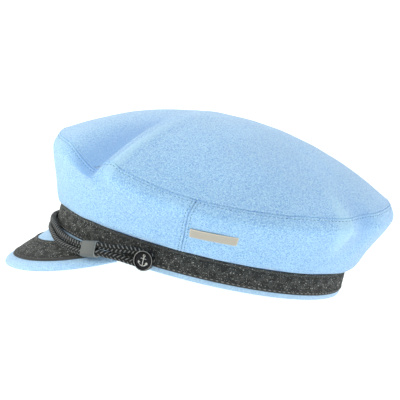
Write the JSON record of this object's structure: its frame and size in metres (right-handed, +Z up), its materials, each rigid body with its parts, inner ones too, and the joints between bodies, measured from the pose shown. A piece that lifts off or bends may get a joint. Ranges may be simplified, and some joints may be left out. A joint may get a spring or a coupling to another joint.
{
  "type": "fisherman cap",
  "caption": "Soft round felt cap: a wide flat-topped crown on an upright band, a short sloping front peak, patterned braids, and a doubled cord held by slides and buttons.",
  "frame": {"origin": "middle of the bounding box's base, on the surface that the cap rests on", "axes": "+Z up; the peak points along -Y; +X is the wearer's left, the side with the name plate"},
  "size_m": [0.2268, 0.2692, 0.1174],
  "materials": {
    "wool_felt": "light blue milled wool felt, matte with a short soft nap",
    "black_braid": "black woven trim braid with a raised leaf pattern, faint sheen",
    "black_cord": "black braided cord with a soft sheen",
    "grey_slide": "smooth mid grey slide, satin",
    "gunmetal": "dark polished gunmetal with bright raised edges",
    "brushed_nickel": "pale brushed nickel, bare"
  },
  "bodies": {
    "root": {"crown_top": "wool_felt", "side_front": "wool_felt", "side_rear": "wool_felt", "head_band": "wool_felt", "peak": "wool_felt", "band_braid": "black_braid", "peak_braid": "black_braid", "cord_loop": "black_cord", "keeper_left": "grey_slide", "keeper_right": "grey_slide", "button_left": "gunmetal", "button_right": "gunmetal", "side_plate": "brushed_nickel"}
  },
  "joints": []
}
